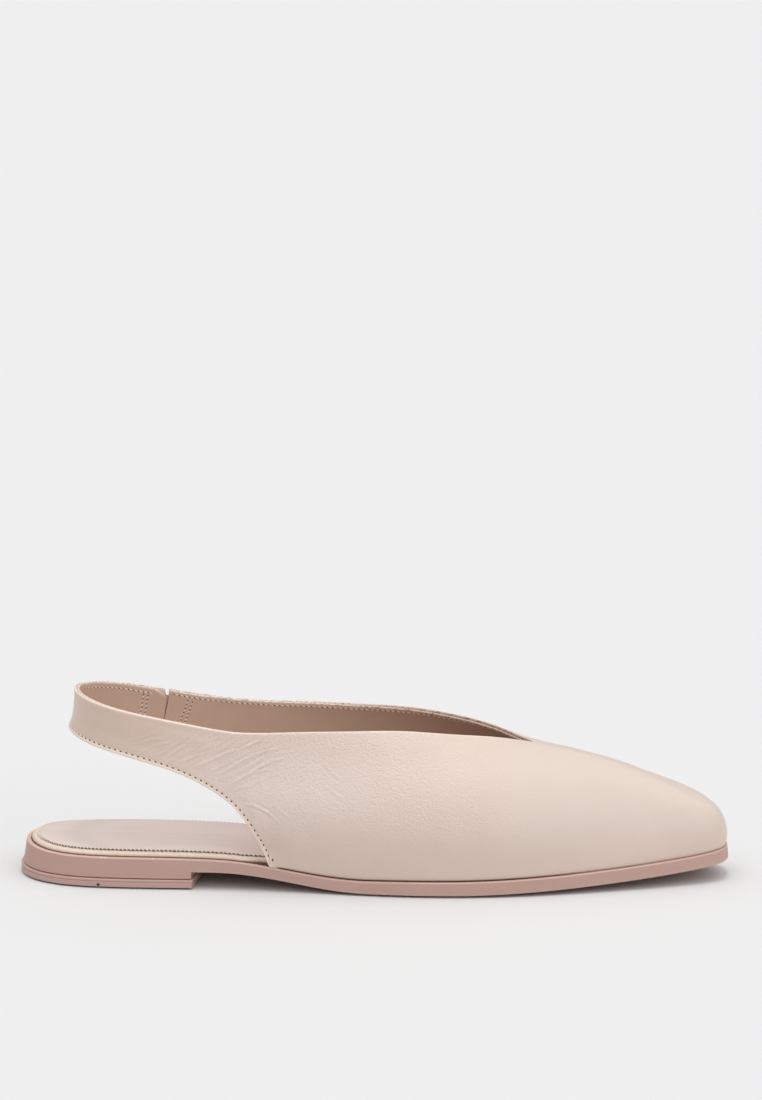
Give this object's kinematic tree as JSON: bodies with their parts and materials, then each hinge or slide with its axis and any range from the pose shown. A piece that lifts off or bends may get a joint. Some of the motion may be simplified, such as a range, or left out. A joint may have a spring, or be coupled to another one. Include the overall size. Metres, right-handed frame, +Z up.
{
  "type": "open-back flat shoe",
  "caption": "Low flat women's shoe with an almond toe, V throat, open back and a leather sling strap with an elastic insert, on a unit sole with a low heel.",
  "frame": {"origin": "on the floor, under the middle of the shoe's length and width", "axes": "+X from the heel to the toe, +Y to the inner side of the foot, +Z up"},
  "size_m": [0.2626, 0.0779, 0.0695],
  "materials": {
    "sole_rubber": "satin",
    "lift_rubber": "satin",
    "footbed_leather": "satin",
    "sock_leather": "satin",
    "upper_leather": "satin",
    "elastic_band": "matte"
  },
  "bodies": {
    "root": {"outsole": "sole_rubber", "heel_lift": "lift_rubber", "footbed": "footbed_leather", "insole_sock": "sock_leather", "upper": "upper_leather", "strap_elastic": "elastic_band"}
  },
  "joints": []
}
